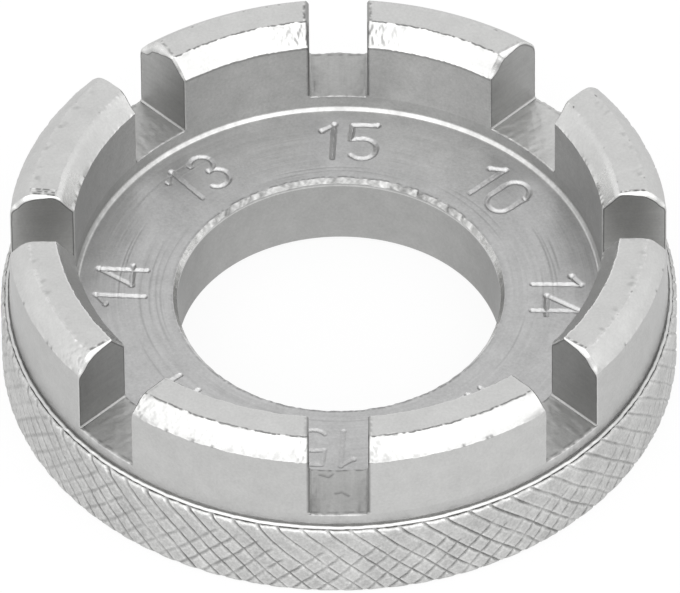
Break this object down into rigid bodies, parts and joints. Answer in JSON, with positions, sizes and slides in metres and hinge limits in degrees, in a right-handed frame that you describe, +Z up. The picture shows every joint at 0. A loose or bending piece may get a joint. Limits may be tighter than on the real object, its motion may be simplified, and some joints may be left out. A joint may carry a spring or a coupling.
{
  "type": "spoke wrench",
  "caption": "Round spoke wrench: a knurled metal ring with a through hole and nipple slots of several gauges between the lugs of its raised crown.",
  "frame": {"origin": "on the ring's axis, in the plane of the flat underside", "axes": "+Z up through the lugs, along the hole; +Y through the 15 gauge slot that is at the back in the picture, -Y through the 15 gauge slot at the front; +X and -X through the two 14 gauge slots"},
  "size_m": [0.038, 0.038, 0.0107],
  "materials": {
    "knurled_rim": "nickel plated, knurled",
    "crown": "satin nickel plate",
    "gauge_face": "turned, satin nickel plate"
  },
  "bodies": {
    "root": {"knurled_rim": "knurled_rim", "crown_base": "crown", "gauge_ring": "gauge_face", "lug_15_10": "crown", "lug_10_14": "crown", "lug_14_12": "crown", "lug_12_15": "crown", "lug_15_11": "crown", "lug_11_14": "crown", "lug_14_13": "crown", "lug_13_15": "crown"}
  },
  "joints": []
}
